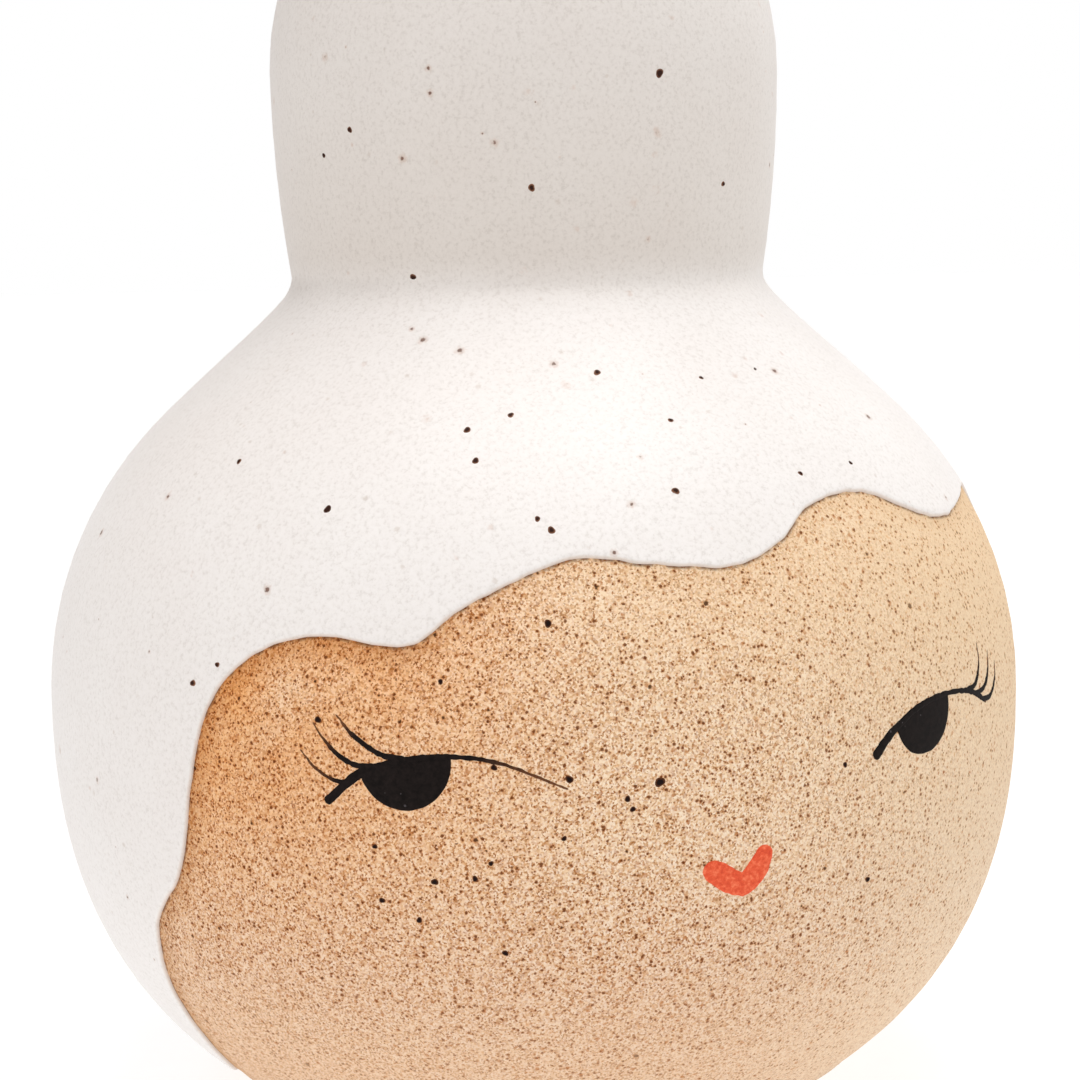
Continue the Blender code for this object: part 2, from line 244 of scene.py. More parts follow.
def smooth_curve(points, steps):
    """A smooth curve through the points, with steps stretches between each two."""
    points = np.array(points, dtype=float)
    padded = np.vstack([2 * points[0] - points[1], points, 2 * points[-1] - points[-2]])
    t = (np.arange(steps) / steps)[:, None]
    curve = []
    for before, start, end, after in zip(padded, padded[1:], padded[2:], padded[3:]):
        curve.append(0.5 * (2 * start + (end - before) * t
                            + (2 * before - 5 * start + 4 * end - after) * t ** 2
                            + (3 * start - before - 3 * end + after) * t ** 3))
    curve.append(points[-1:])
    return np.vstack(curve)


# ---------------------------------------------------------------- mesh helpers

def grid_faces(rows, columns, wrap):
    """Quads of a grid whose points are numbered row by row."""
    row = np.arange(rows - 1)[:, None]
    column = np.arange(columns if wrap else columns - 1)[None, :]
    after = (column + 1) % columns
    quads = [row * columns + column, row * columns + after,
             (row + 1) * columns + after, (row + 1) * columns + column]
    return np.stack([np.broadcast_to(q, (rows - 1, column.size)) for q in quads], axis=-1).reshape(-1, 4)


def mesh_object(name, points, faces, fields=None, smooth=True):
    """A new object of these faces, with fields that give a number for each point."""
    mesh = bpy.data.meshes.new(name)
    mesh.from_pydata([tuple(p) for p in np.asarray(points, float).reshape(-1, 3)], [],
                     [tuple(int(i) for i in f) for f in faces])
    for field, values in (fields or {}).items():
        attribute = mesh.attributes.new(field, "FLOAT", "POINT")
        attribute.data.foreach_set("value", np.asarray(values, np.float32).ravel())
    bm = bmesh.new()
    bm.from_mesh(mesh)
    bmesh.ops.remove_doubles(bm, verts=bm.verts, dist=1e-7)
    bmesh.ops.recalc_face_normals(bm, faces=bm.faces)
    bm.to_mesh(mesh)
    bm.free()
    if smooth:
        mesh.shade_smooth()
    piece = bpy.data.objects.new(name, mesh)
    bpy.context.scene.collection.objects.link(piece)
    return piece


def finish_piece(piece, material, slot, *replaced):
    """Gives a piece its material, and puts it in the place of the CAD nodes. The slot is not used."""
    piece.data.materials.append(material)
    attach(piece, "root")
    if replaced:
        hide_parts(*replaced)
    return piece


# ---------------------------------------------------------------- the hairline

def smooth_ring(values, passes):
    """Closed values, each averaged with its neighbours a few times."""
    for _ in range(passes):
        values = (np.roll(values, 1) + 2 * values + np.roll(values, -1)) / 4
    return values


def hairline_curve():
    """The hairline round the whole head as (angle, length up the outside), at even spacing."""
    fine_steps = 60
    drawn = smooth_curve(HAIRLINE, fine_steps) * MM
    half_turn = pi * HEAD_RADIUS
    drawn = np.vstack([[-half_turn, drawn[0, 1]], drawn, [half_turn, drawn[-1, 1]]])
    angle = drawn[:, 0] / HEAD_RADIUS
    length = OUTSIDE.along(HEAD_CENTRE_Z + drawn[:, 1])
    points = place(angle, length, 0)
    travel = np.concatenate([[0], np.cumsum(np.linalg.norm(np.diff(points, axis=0), axis=1))])
    even = np.linspace(0, travel[-1], HAIR_COLUMNS, endpoint=False)
    ragged = smooth_ring(np.random.default_rng(8).normal(size=HAIR_COLUMNS), 1) * RAGGED
    return np.interp(even, travel, angle), np.interp(even, travel, length) + ragged


HAIR_ANGLE, HAIR_LENGTH = hairline_curve()
# Distances from the hairline of the glaze's first rows, close together where its edge rolls over
NEAR_EDGE = np.array([0, 0.04, 0.09, 0.16, 0.26, 0.4, 0.6, 0.95, 1.5]) * MM


def hair_rows():
    """Angles and lengths of the glaze's rows: near the edge they follow the hairline at even
    distances, and further on they spread out evenly round the axis and up to the mouth."""
    radius = np.interp(HAIR_LENGTH, OUTSIDE.length, OUTSIDE.r)
    step_angle = (np.roll(HAIR_ANGLE, -1) - np.roll(HAIR_ANGLE, 1) + pi) % (2 * pi) - pi
    step_length = np.roll(HAIR_LENGTH, -1) - np.roll(HAIR_LENGTH, 1)
    size = np.hypot(step_angle * radius, step_length)
    normal_across = smooth_ring(-step_length / size, 3)
    normal_up = smooth_ring(step_angle * radius / size, 3)
    angles = [HAIR_ANGLE + d * normal_across / radius for d in NEAR_EDGE]
    lengths = [HAIR_LENGTH + d * normal_up for d in NEAR_EDGE]
    distances = [np.full(HAIR_COLUMNS, d) for d in NEAR_EDGE]
    even_angle = HAIR_ANGLE[0] + np.arange(HAIR_COLUMNS) * 2 * pi / HAIR_COLUMNS
    even_angle += np.mean(angles[-1] - even_angle)
    last = len(NEAR_EDGE) - 1
    for t in np.linspace(0, 1, HAIR_ROWS + 1)[1:]:
        spread = 1 - (1 - t) ** 1.6
        angles.append(angles[last] * (1 - spread) + even_angle * spread)
        lengths.append(lengths[last] * (1 - t) + OVER_LIP.end * t)
        distances.append(np.full(HAIR_COLUMNS, NEAR_EDGE[last] + t))
    return np.array(angles), np.array(lengths), np.array(distances)


def hair_glaze():
    """The white coat: one sheet from its rolled edge at the hairline, over crown and topknot and
    over the lip, with an underside sunk in the clay. The underside has fewer rows, so it goes
    deeper at the waist, where they would otherwise cut across the hollow."""
    angles, lengths, distances = hair_rows()
    share = np.clip(distances / GLAZE_ROLL, 0, 1)
    end_share = np.clip((OVER_LIP.end - lengths) / GLAZE_FADE, 0, 1)
    thickness = GLAZE * np.sqrt(1 - (1 - share) ** 2) * np.sqrt(1 - (1 - end_share) ** 2)
    pooled = 1 + 0.12 * np.sin(5 * angles + 60 * lengths) * share
    top = place(angles, lengths, thickness * pooled, OVER_LIP)
    every_third = np.arange(len(NEAR_EDGE) - 1, len(angles), 3)
    kept = np.unique(np.concatenate([[0], every_third, [len(angles) - 1]]))[::-1]
    waist_width = 6 * MM
    waist = np.exp(-((lengths[kept] - OUTSIDE.along(SEAM_Z)) / waist_width) ** 2)
    under = place(angles[kept], lengths[kept], -GLAZE_SUNK - waist * MM, OVER_LIP)
    points = np.concatenate([top, under, top[:1]])
    faces = grid_faces(len(points), HAIR_COLUMNS, wrap=True)
    from_edge = np.concatenate([distances, np.zeros((len(kept), HAIR_COLUMNS)), distances[:1]])
    return mesh_object("hair_glaze_coat", points, faces, {"from_edge": from_edge / MM})


# ---------------------------------------------------------------- the clay

FLAT = np.array([1, 1, 0])      # times a point, puts it on the ground


def groove(lengths):
    """Depth of the groove round the seam, which the neck coil fills."""
    share = (np.interp(lengths, OUTSIDE.length, OUTSIDE.z) - SEAM_Z) / GROOVE_HALF_HEIGHT
    return GROOVE_DEPTH * np.sqrt(np.clip(1 - share ** 2, 0, 1))


def from_hairline(points, angles):
    """Distance of points from the hairline in millimetres, negative on the bare clay side."""
    closed_angle = np.append(HAIR_ANGLE, HAIR_ANGLE[0] + 2 * pi)
    closed_length = np.append(HAIR_LENGTH, HAIR_LENGTH[0])
    points_for_each = 10
    fine = np.linspace(0, HAIR_COLUMNS, HAIR_COLUMNS * points_for_each)
    knots = np.arange(HAIR_COLUMNS + 1)
    line_angle = np.interp(fine, knots, closed_angle)
    line_length = np.interp(fine, knots, closed_length)
    line = place(line_angle, line_length, 0)
    tree = KDTree(len(line))
    for index, point in enumerate(line):
        tree.insert(Vector(point), index)
    tree.balance()
    distance = np.array([tree.find(Vector(point))[2] for point in points])
    line_height = np.interp(line_length, OUTSIDE.length, OUTSIDE.z)
    turned = (angles - line_angle[0]) % (2 * pi) + line_angle[0]
    below = points[:, 2] < np.interp(turned, line_angle, line_height)
    return np.where(below, -distance, distance) / MM


def head_clay():
    """The globe's clay: fine where it is bare, coarser under the glaze, closed by its inside."""
    side = 88                   # the face lies within this many degrees on each side
    brow = 28 * MM              # and goes up less than this far above the globe's widest circle
    fine_step = 0.62
    coarse_step = 2.3
    front = np.arange(-side, side, fine_step)
    back = np.arange(side, 360 - side, coarse_step)
    angles = np.radians(np.concatenate([front, back]))
    seam = OUTSIDE.along(SEAM_Z)
    bare = np.linspace(0, OUTSIDE.along(HEAD_CENTRE_Z + brow), 140)
    lengths = np.concatenate([bare, np.linspace(bare[-1], seam, 34)[1:]])
    outside = place(angles[None, :], lengths[:, None], -groove(lengths)[:, None])
    base_radii = np.array([0, 0.12, 0.3, 0.5, 0.7, 0.86, 0.96])
    base = outside[0] * FLAT * base_radii[:, None, None]
    inner_lengths = np.linspace(seam, OUTSIDE.along(CUP_HEIGHT - MM), 22)
    inside = place(angles[None, :], inner_lengths[:, None], -WALL)
    inside[:, :, 2] = np.maximum(inside[:, :, 2], FLOOR)
    floor = inside[-1] * FLAT * np.array([0.9, 0.45, 0])[:, None, None]
    floor[:, :, 2] = FLOOR
    points = np.concatenate([base, outside, inside, floor])
    faces = grid_faces(len(points), len(angles), wrap=True)
    far_from_it = -40.0
    distance = np.full(points.shape[:2], far_from_it)
    every_angle = np.broadcast_to(angles, outside.shape[:2]).ravel()
    outside_rows = slice(len(base), len(base) + len(outside))
    outside_distance = from_hairline(outside.reshape(-1, 3), every_angle)
    distance[outside_rows] = outside_distance.reshape(outside.shape[:2])
    return mesh_object("head_clay", points, faces, {"from_hairline": distance})


def topknot_clay():
    """The bun's clay, under the glaze inside and out."""
    angles = np.linspace(-pi, pi, KNOT_COLUMNS, endpoint=False)[None, :]
    lengths = np.linspace(OUTSIDE.along(SEAM_Z), OUTSIDE.end, 90)
    outside = place(angles, lengths[:, None], -groove(lengths)[:, None] - UNDER)
    inside = place(angles, lengths[::-3, None], -WALL)
    points = np.concatenate([outside, inside, outside[:1]])
    return mesh_object("topknot_clay", points, grid_faces(len(points), KNOT_COLUMNS, wrap=True))


def coil_clay():
    """The coil pressed into the groove and smoothed level with the waist."""
    angles = np.linspace(-pi, pi, KNOT_COLUMNS, endpoint=False)[None, :]
    ends = OUTSIDE.along(SEAM_Z - GROOVE_HALF_HEIGHT), OUTSIDE.along(SEAM_Z + GROOVE_HALF_HEIGHT)
    lengths = np.linspace(*ends, 24)
    outside = place(angles, lengths[:, None], -UNDER)
    inside = place(angles, lengths[::-1, None], -groove(lengths[::-1])[:, None] - UNDER)
    points = np.concatenate([outside, inside[1:-1], outside[:1]])
    return mesh_object("neck_coil_clay", points, grid_faces(len(points), KNOT_COLUMNS, wrap=True))


def liner():
    """The coat inside, from under the hair glaze's overlap down to a cupped floor."""
    columns = 160
    angles = np.linspace(-pi, pi, columns, endpoint=False)
    lengths = np.linspace(OUTSIDE.end - LINER_TOP, OUTSIDE.along(CUP_HEIGHT), 90)
    wet = place(angles[None, :], lengths[:, None], -WALL - LINER)
    dry = place(angles[None, :], lengths[::-1, None], -WALL + LINER_SUNK)
    flat_share = 0.6            # the cup is flat out to this share of its radius
    floor_top = FLOOR + LINER
    cup = []
    for share in (0.93, 0.85, 0.74, flat_share, 0.4, 0.2, 0.0):
        ring = wet[-1] * FLAT * share
        rise = max(0.0, (share - flat_share) / (1 - flat_share)) ** 2
        ring[:, 2] = floor_top + (wet[-1, 0, 2] - floor_top) * rise
        cup.append(ring)
    cup = np.array(cup)
    under = cup[::-1] - np.array([0, 0, LINER + LINER_SUNK])
    points = np.concatenate([wet, cup, under, dry, wet[:1]])
    faces = grid_faces(len(points), columns, wrap=True)
    far_from_edge = 9.0
    from_edge = np.full(points.shape[:2], far_from_edge)
    return mesh_object("liner_coat", points, faces, {"from_edge": from_edge})


# ---------------------------------------------------------------- painted strokes

def brushed(count, seed):
    """Small uneven offsets for the points along a brushed edge, in millimetres."""
    spare = 4
    rough = np.random.default_rng(seed).normal(size=count + 2 * spare)
    soft = np.convolve(rough, np.array([1, 3, 5, 5, 3, 1]) / 18, mode="same")
    return soft[spare:-spare, None] * WANDER


def paint_patch(name, first, second, height, seed):
    """Raised paint between two edges of the drawing, domed across and sunk at its border."""
    across = np.array([0, 0.03, 0.1, 0.25, 0.5, 0.75, 0.9, 0.97, 1.0])
    span = np.linalg.norm(second - first, axis=1, keepdims=True)
    outward = (second - first) / np.maximum(span, 1e-6)
    first = first - outward * brushed(len(first), seed)
    second = second + outward * brushed(len(second), seed + 1)
    drawn = first[None] * (1 - across[:, None, None]) + second[None] * across[:, None, None]
    dome = np.sqrt(np.clip(1 - np.abs(2 * across - 1) ** 4, 0, 1))[:, None]
    thin = np.clip(span.ravel() / FULL_PAINT, 0.25, 1)[None, :]
    number = np.arange(len(first))
    ends = np.clip(np.minimum(number, number[::-1]) / 2, 0, 1)[None, :]
    lift = height * dome * thin * ends
    top = drawn_place(drawn[..., 0], drawn[..., 1], lift)
    under = drawn_place(drawn[..., 0], drawn[..., 1], -PAINT_SUNK)[::-1]
    points = np.concatenate([top, under, top[:1]])
    sides = grid_faces(len(points), len(first), wrap=False)
    rows = len(points) - 1
    start_cap = [row * len(first) for row in range(rows)]
    end_cap = [row * len(first) + len(first) - 1 for row in range(rows)]
    faces = [tuple(face) for face in sides] + [tuple(start_cap[::-1]), tuple(end_cap)]
    body = np.broadcast_to(thin, points.shape[:2])
    return mesh_object(name, points, faces, {"body": body})


def stroke(name, points, seed, height=PAINT):
    """A stroke with round ends along a centre line with half widths."""
    spacing = 0.12
    curve = smooth_curve(points, CURVE_STEPS)
    travel = np.concatenate([[0], np.cumsum(np.linalg.norm(np.diff(curve[:, :2], axis=0), axis=1))])
    even = np.linspace(0, travel[-1], int(travel[-1] / spacing) + 8)
    curve = np.column_stack([np.interp(even, travel, curve[:, axis]) for axis in range(3)])
    for end, spot in ((0, even), (-1, even[-1] - even)):
        reach = max(curve[end, 2], 0.05)
        round_share = np.clip(spot / reach, 0, 1)
        curve[:, 2] *= np.maximum(np.sqrt(1 - (1 - round_share) ** 2), 0.05)
    along = np.gradient(curve[:, :2], axis=0)
    along /= np.linalg.norm(along, axis=1)[:, None]
    side = np.column_stack([-along[:, 1], along[:, 0]]) * curve[:, 2:3]
    return paint_patch(name, curve[:, :2] + side, curve[:, :2] - side, height, seed)


def iris_patch(name, side, seed):
    """The half disc that hangs from a lid line."""
    centre, middle, half_width, drop = IRISES[side]
    lid = smooth_curve(LID_LINES[side], CURVE_STEPS)
    share = np.sin(np.linspace(-pi / 2, pi / 2, 70))
    across = centre + half_width * share
    lid_up = np.interp(across, lid[:, 0], lid[:, 1])
    rim = middle - drop * np.sqrt(1 - share ** 2)
    first = np.column_stack([across, lid_up])
    second = np.column_stack([across, np.minimum(rim, lid_up - 0.02)])
    return paint_patch(name, first, second, PAINT * 0.8, seed)


def iron_specks(name, spots, lift, seed):
    """Low uneven domes of melted iron, standing out of the surface at the given spots."""
    random = np.random.default_rng(seed)
    columns = 14
    spread = 1.2                # melted iron runs out this much wider than the speck
    rings = np.array([0.0, 0.35, 0.65, 0.88, 1.0, 1.12])
    heights = np.array([0.075, 0.07, 0.052, 0.02, -0.02, -0.12]) * MM
    turn = np.arange(columns) * 2 * pi / columns
    points, faces, body = [], [], []
    for degrees, up, size in spots:
        lobes = random.uniform(0, 6), random.uniform(0, 6)
        wave = 1 + 0.12 * np.sin(2 * turn + lobes[0]) + 0.08 * np.sin(3 * turn + lobes[1])
        length = OUTSIDE.along(HEAD_CENTRE_Z + up * MM)
        radius = np.interp(length, OUTSIDE.length, OUTSIDE.r)
        reach = spread * size * MM * rings[:, None] * wave
        top = place(radians(degrees) + reach * np.cos(turn) / radius, length + reach * np.sin(turn),
                    heights[:, None] + lift)
        under = place(radians(degrees), length, lift - 0.2 * MM)
        start = len(points)
        points.extend(top.reshape(-1, 3))
        points.append(under)
        faces.extend(tuple(face + start) for face in grid_faces(len(rings), columns, wrap=True))
        rim = start + (len(rings) - 1) * columns
        faces.extend((rim + (i + 1) % columns, rim + i, len(points) - 1) for i in range(columns))
        body.extend(np.repeat(1 - rings, columns))
        body.append(0)
    return mesh_object(name, points, faces, {"body": body})


# ---------------------------------------------------------------- materials

class Nodes:
    """A node tree being wired, with short helpers for the nodes used here."""

    def __init__(self, owner, coordinates):
        owner.use_nodes = True
        self.tree = owner.node_tree
        self.coordinates = self.tree.nodes.new("ShaderNodeTexCoord").outputs[coordinates]

    def node(self, kind, **settings):
        made = self.tree.nodes.new(kind)
        for key, value in settings.items():
            setattr(made, key, value)
        return made

    def link(self, source, target):
        self.tree.links.new(source, target)

    def fill(self, socket, value):
        """Links another socket to this one, or sets it to a number or to a red, green and blue."""
        if isinstance(value, bpy.types.NodeSocket):
            self.link(value, socket)
        elif socket.type == "RGBA":
            socket.default_value = (*value, 1.0)
        else:
            socket.default_value = value

    def math(self, operation, first, second=0.0, third=0.0, clamp=False):
        made = self.node("ShaderNodeMath", operation=operation, use_clamp=clamp)
        for socket, value in zip(made.inputs, (first, second, third)):
            self.fill(socket, value)
        return made.outputs[0]

    def times(self, product, *others):
        for other in others:
            product = self.math("MULTIPLY", product, other)
        return product

    def ramp(self, value, low, high, start=0.0, end=1.0):
        """A smooth change from start at low to end at high, whichever of low and high is larger."""
        made = self.node("ShaderNodeMapRange", interpolation_type="SMOOTHSTEP")
        if low > high:
            low, high, start, end = high, low, end, start
        sockets = ("Value", "From Min", "From Max", "To Min", "To Max")
        for name, number in zip(sockets, (value, low, high, start, end)):
            self.fill(made.inputs[name], number)
        return made.outputs["Result"]

    def shifted(self, offset):
        """The coordinates moved by an offset, so that patterns of one kind don't coincide."""
        made = self.node("ShaderNodeVectorMath", operation="ADD")
        self.link(self.coordinates, made.inputs[0])
        made.inputs[1].default_value = offset
        return made.outputs[0]

    def noise(self, size, detail=2.0, roughness=0.5, offset=(0.0, 0.0, 0.0)):
        """Noise with features about size across, in metres."""
        made = self.node("ShaderNodeTexNoise")
        self.link(self.shifted(offset), made.inputs["Vector"])
        made.inputs["Scale"].default_value = 1 / size
        made.inputs["Detail"].default_value = detail
        made.inputs["Roughness"].default_value = roughness
        return made.outputs["Fac"]

    def cells(self, size, offset):
        """Irregular cells about size across: the distance from a cell's point in cell sizes, and
        three random values for each cell."""
        made = self.node("ShaderNodeTexVoronoi", feature="F1")
        self.link(self.shifted(offset), made.inputs["Vector"])
        made.inputs["Scale"].default_value = 1 / size
        split = self.node("ShaderNodeSeparateColor")
        self.link(made.outputs["Color"], split.inputs[0])
        return made.outputs["Distance"], *split.outputs

    def specks(self, spacing, smallest, largest, share, offset, soft=0.25):
        """Round specks: one in each cell of a spacing, of random radius, and only in a share of
        the cells. Gives their strength, from 0 to 1."""
        distance, size_value, share_value, _ = self.cells(spacing, offset)
        mostly_small = self.math("POWER", size_value, 2.5)
        radius = self.math("MULTIPLY_ADD", mostly_small, (largest - smallest) / spacing,
                           smallest / spacing)
        wavering = self.noise(largest * 0.8, detail=1.0, offset=offset)
        nearness = self.times(self.math("DIVIDE", distance, radius),
                              self.math("MULTIPLY_ADD", wavering, 1.3, 0.35))
        kept = self.math("LESS_THAN", share_value, share)
        return self.times(self.ramp(nearness, 1.0 + soft, 1.0 - soft), kept)

    def mix(self, factor, first, second, blend="MIX"):
        made = self.node("ShaderNodeMix", data_type="RGBA", blend_type=blend)
        self.fill(made.inputs["Factor"], factor)
        self.fill(made.inputs["A"], first)
        self.fill(made.inputs["B"], second)
        return next(output for output in made.outputs if output.type == "RGBA")

    def colours(self, value, *stops):
        """A colour ramp through (position, colour) stops."""
        made = self.node("ShaderNodeValToRGB")
        self.link(value, made.inputs[0])
        elements = made.color_ramp.elements
        for index, (position, colour) in enumerate(stops):
            element = elements[index] if index < 2 else elements.new(position)
            element.position = position
            element.color = (*colour, 1.0)
        return made.outputs[0]

    def attribute(self, name):
        made = self.node("ShaderNodeAttribute", attribute_name=name)
        return made.outputs["Fac"]

    def axis(self, name):
        split = self.node("ShaderNodeSeparateXYZ")
        self.link(self.coordinates, split.inputs[0])
        return split.outputs[name]

    def bump(self, height, distance, strength, before=None):
        made = self.node("ShaderNodeBump")
        made.inputs["Strength"].default_value = strength
        made.inputs["Distance"].default_value = distance
        self.link(height, made.inputs["Height"])
        if before is not None:
            self.link(before, made.inputs["Normal"])
        return made.outputs["Normal"]


class Finish(Nodes):
    """A Principled material."""

    def __init__(self, name, roughness, specular):
        self.material = bpy.data.materials.new(name)
        super().__init__(self.material, "Object")
        self.shader = self.tree.nodes["Principled BSDF"]
        self.roughness = roughness
        self.shader.inputs["Specular IOR Level"].default_value = specular

    def done(self, colour, normal, mottle):
        """Wires the shader up; the roughness goes up and down a little with the mottle."""
        swing = 0.3
        rough = self.math("MULTIPLY_ADD", mottle, swing, self.roughness - swing / 2, clamp=True)
        self.link(rough, self.shader.inputs["Roughness"])
        self.link(colour, self.shader.inputs["Base Color"])
        self.link(normal, self.shader.inputs["Normal"])
        return self.material


def sandy_clay(name, flashed):
    """Bare speckled stoneware: sand grains of several shades, rust, burnt grog and iron specks. To
    the viewer's right and low down it is smoother, and its specks are fainter."""
    nodes = Finish(name, 0.85, 0.1)
    _, kind, _, sand = nodes.cells(0.17 * MM, (0.3, 0.1, 0.2))
    soft = nodes.noise(0.4 * MM, detail=2.0, roughness=0.7, offset=(3.0, 1.0, 2.0))
    grain = nodes.math("MULTIPLY_ADD", sand, 0.85, nodes.times(soft, 0.15))
    colour = nodes.colours(
        grain,
        (0.12, (0.41, 0.17, 0.055)), (0.24, (0.62, 0.34, 0.16)), (0.38, (0.79, 0.505, 0.285)),
        (0.54, (0.89, 0.635, 0.405)), (0.70, (0.97, 0.755, 0.525)), (0.84, (1.0, 0.83, 0.65)))
    rosy_grain = nodes.ramp(kind, 0.55, 0.8, 0.0, 0.45)
    colour = nodes.mix(rosy_grain, colour, (0.87, 0.66, 0.52))
    calm = nodes.math("MAXIMUM", nodes.ramp(nodes.axis("X"), 0, 46 * MM, 0.0, 0.45),
                      nodes.ramp(nodes.axis("Z"), 34 * MM, 12 * MM, 0.0, 0.45))
    colour = nodes.mix(calm, colour, (0.85, 0.62, 0.405))
    if flashed:
        colour = flashing(nodes, colour)
    shown = nodes.math("SUBTRACT", 1.0, calm)
    rust = nodes.specks(0.7 * MM, 0.1 * MM, 0.24 * MM, 0.5, (0.12, 0.05, 0.17), soft=0.4)
    colour = nodes.mix(nodes.times(rust, 0.6), colour, (0.52, 0.19, 0.045))
    for spacing, radius, share, offset, dark in (
            (0.42 * MM, 0.17 * MM, 0.46, (0.02, 0.31, 0.07), (0.13, 0.03, 0.007)),
            (2 * MM, 0.25 * MM, 0.4, (0.11, 0.07, 0.19), (0.035, 0.009, 0.004))):
        halo = nodes.specks(spacing, radius * 0.7, radius * 1.4, share, offset, soft=0.6)
        colour = nodes.mix(nodes.times(halo, shown), colour, (0.86, 0.64, 0.44), "MULTIPLY")
        core = nodes.specks(spacing, radius * 0.42, radius, share, offset, soft=0.3)
        colour = nodes.mix(nodes.times(core, shown, 0.88), colour, dark)
    relief = nodes.bump(soft, 0.16 * MM, 0.5)
    return nodes.done(colour, nodes.bump(sand, 0.04 * MM, 0.4, relief), soft)


def flashing(nodes, colour):
    """Warmer toasted clay up the viewer's left side, paler clay to the right and over the brow,
    rosier clay low down, and a toasted band with a thin burnt line along the edge of the glaze."""
    across = nodes.axis("X")
    up = nodes.axis("Z")
    cloud = nodes.noise(22 * MM, detail=3.0, roughness=0.6, offset=(1.3, 4.1, 0.7))
    warmth = nodes.times(nodes.ramp(across, -8 * MM, -46 * MM), nodes.ramp(up, 20 * MM, 60 * MM),
                         nodes.ramp(cloud, 0.05, 0.5))
    colour = nodes.mix(warmth, colour, (0.94, 0.60, 0.31), "MULTIPLY")
    pale = nodes.ramp(across, -12 * MM, 40 * MM, 0.0, 0.58)
    pale_colour = nodes.mix(nodes.ramp(up, 22 * MM, 58 * MM), (0.86, 0.715, 0.55),
                            (0.84, 0.665, 0.455))
    colour = nodes.mix(pale, colour, pale_colour)
    brow = nodes.times(nodes.ramp(up, 46 * MM, 68 * MM), nodes.ramp(across, -24 * MM, -6 * MM))
    colour = nodes.mix(nodes.times(brow, 0.35), colour, (0.88, 0.64, 0.40))
    rosy = nodes.times(nodes.ramp(up, 45 * MM, 24 * MM), nodes.ramp(across, 36 * MM, -10 * MM))
    colour = nodes.mix(rosy, colour, (0.93, 0.88, 0.88), "MULTIPLY")
    from_line = nodes.attribute("from_hairline")
    toasted = nodes.times(nodes.ramp(from_line, -3.2, 0.0, 0.0, 0.85),
                          nodes.ramp(across, -12 * MM, -38 * MM, 0.25, 1.0))
    colour = nodes.mix(toasted, colour, (0.78, 0.66, 0.52), "MULTIPLY")
    ragged = nodes.noise(0.9 * MM, offset=(2.0, 2.0, 5.0))
    burnt = nodes.times(nodes.ramp(from_line, -0.42, -0.05), nodes.ramp(ragged, 0.3, 0.6), 0.75)
    return nodes.mix(burnt, colour, (0.16, 0.075, 0.04))


def white_glaze(name, roughness):
    """White glaze with a fine grain, and iron that melts through it, each larger speck in a soft
    brown halo. On the bun it is darker and creamier, painted shade that is deepest at the waist, and it
    lets the clay's brown through at its thin edge."""
    nodes = Finish(name, roughness, 0.32)
    nodes.shader.inputs["Coat Weight"].default_value = 0.08
    nodes.shader.inputs["Coat Roughness"].default_value = 0.28
    cloud = nodes.noise(18 * MM, detail=3.0, roughness=0.55)
    colour = nodes.colours(cloud, (0.3, (0.895, 0.855, 0.83)), (0.7, (0.92, 0.89, 0.87)))
    up = nodes.axis("Z")
    # Painted shade: the bun's glaze is darkened and warmed, most just above the waist and less further up
    # the bun
    bun = nodes.ramp(up, SEAM_Z - 6.5 * MM, SEAM_Z + 0.5 * MM)
    bun_shade_colour = nodes.mix(nodes.ramp(up, SEAM_Z - 2 * MM, SEAM_Z + 36 * MM),
                           (0.80, 0.77, 0.735), (0.855, 0.84, 0.825))
    colour = nodes.mix(bun, colour, bun_shade_colour, "MULTIPLY")
    grain = nodes.noise(0.42 * MM, detail=2.0, roughness=0.7, offset=(0.4, 0.9, 0.2))
    grain_colour = nodes.colours(grain, (0.3, (0.87, 0.858, 0.846)), (0.46, (0.97, 0.967, 0.963)),
                                 (0.6, (1.0, 1.0, 1.0)))
    colour = nodes.mix(1.0, colour, grain_colour, "MULTIPLY")
    faint = nodes.specks(1.8 * MM, 0.06 * MM, 0.28 * MM, 0.4, (0.21, 0.13, 0.05), soft=0.5)
    colour = nodes.mix(nodes.times(faint, 0.3), colour, (0.52, 0.42, 0.34))
    melting = (0.05, 0.02, 0.09)
    halo = nodes.specks(2.7 * MM, 0.12 * MM, 0.48 * MM, 0.36, melting, soft=0.8)
    colour = nodes.mix(nodes.times(halo, 0.4), colour, (0.50, 0.27, 0.16))
    core = nodes.specks(2.7 * MM, 0.06 * MM, 0.28 * MM, 0.36, melting, soft=0.3)
    colour = nodes.mix(nodes.times(core, 0.85), colour, (0.14, 0.055, 0.03))
    thin = nodes.ramp(nodes.attribute("from_edge"), 0.34, 0.02, 0.0, 0.45)
    colour = nodes.mix(thin, colour, (0.62, 0.46, 0.34))
    relief = nodes.bump(cloud, 1.2 * MM, 0.15)
    relief = nodes.bump(grain, 0.08 * MM, 0.35, relief)
    relief = nodes.bump(nodes.times(core, -1.0), 0.1 * MM, 0.6, relief)
    return nodes.done(colour, relief, grain)


def black_paint():
    """Matte black underglaze, brown where it is thin, with a few greyer flecks."""
    nodes = Finish("black_underglaze_paint", 0.6, 0.06)
    bristle = nodes.noise(0.6 * MM, detail=3.0, roughness=0.7)
    colour = nodes.colours(bristle, (0.35, (0.006, 0.0042, 0.0038)), (0.7, (0.017, 0.012, 0.011)))
    worn = nodes.times(nodes.ramp(nodes.attribute("body"), 0.85, 0.35),
                       nodes.ramp(bristle, 0.2, 0.55), 0.85)
    colour = nodes.mix(worn, colour, (0.21, 0.08, 0.035))
    fleck = nodes.specks(0.9 * MM, 0.05 * MM, 0.15 * MM, 0.35, (0.3, 0.2, 0.1))
    colour = nodes.mix(nodes.times(fleck, 0.5), colour, (0.13, 0.115, 0.125))
    return nodes.done(colour, nodes.bump(bristle, 0.08 * MM, 0.5), bristle)


